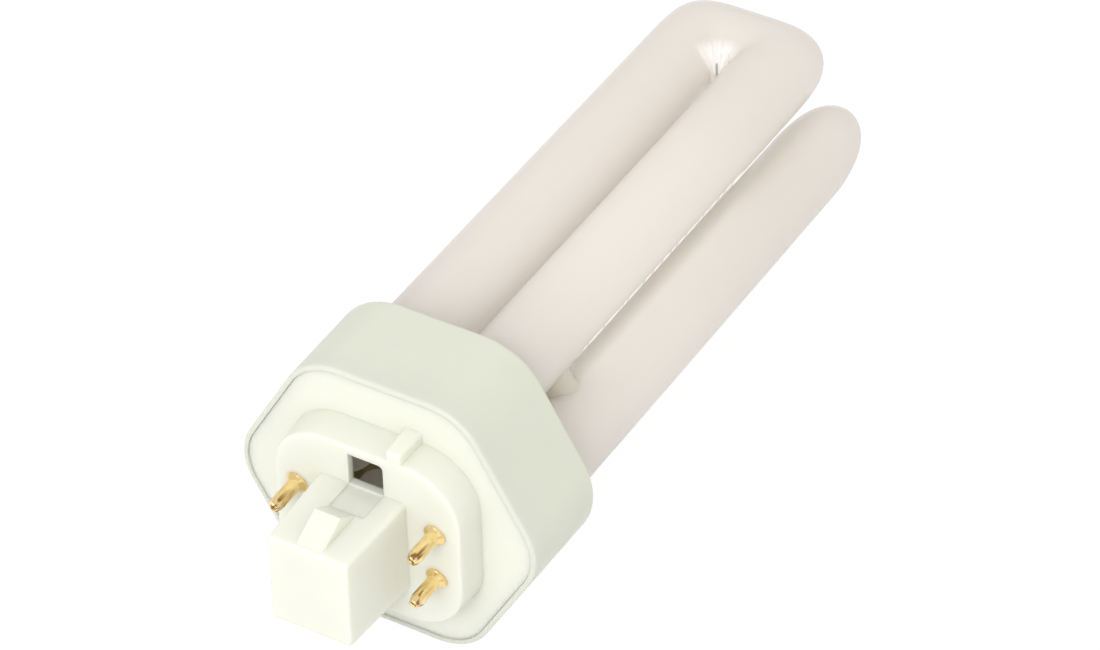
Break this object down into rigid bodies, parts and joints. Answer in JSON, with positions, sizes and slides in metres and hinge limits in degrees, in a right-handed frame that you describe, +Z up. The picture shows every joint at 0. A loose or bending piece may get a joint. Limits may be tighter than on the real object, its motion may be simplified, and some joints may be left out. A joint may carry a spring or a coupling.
{
  "type": "compact fluorescent bulb",
  "caption": "Plug-in compact fluorescent bulb with U-shaped glass tubes standing in a six-sided housing, and a base with a latch post and contact pins.",
  "frame": {"origin": "centre of the footprint, on the ground plane that the flat side of the housing lies on", "axes": "+Y along the bulb from the base to the glass, +Z up through the key rib's side of the base, +X across"},
  "size_m": [0.0492, 0.1322, 0.0455],
  "materials": {
    "shell_plastic": "satin off-white moulded plastic",
    "cap_plastic": "satin off-white moulded plastic",
    "coated_glass": "clear glass with a milky white coating inside, so it is opaque",
    "cement": "dull brown basing cement",
    "pin_metal": "bright plated brass",
    "wire_metal": "bare drawn wire"
  },
  "bodies": {
    "root": {"housing_shell": "shell_plastic", "base_cap": "cap_plastic", "discharge_tube": "coated_glass", "cement_bed": "cement", "contact_pin_1": "pin_metal", "contact_pin_2": "pin_metal", "contact_pin_3": "pin_metal", "contact_pin_4": "pin_metal", "lead_wire_1": "wire_metal", "lead_wire_2": "wire_metal", "lead_wire_3": "wire_metal", "lead_wire_4": "wire_metal"}
  },
  "joints": []
}
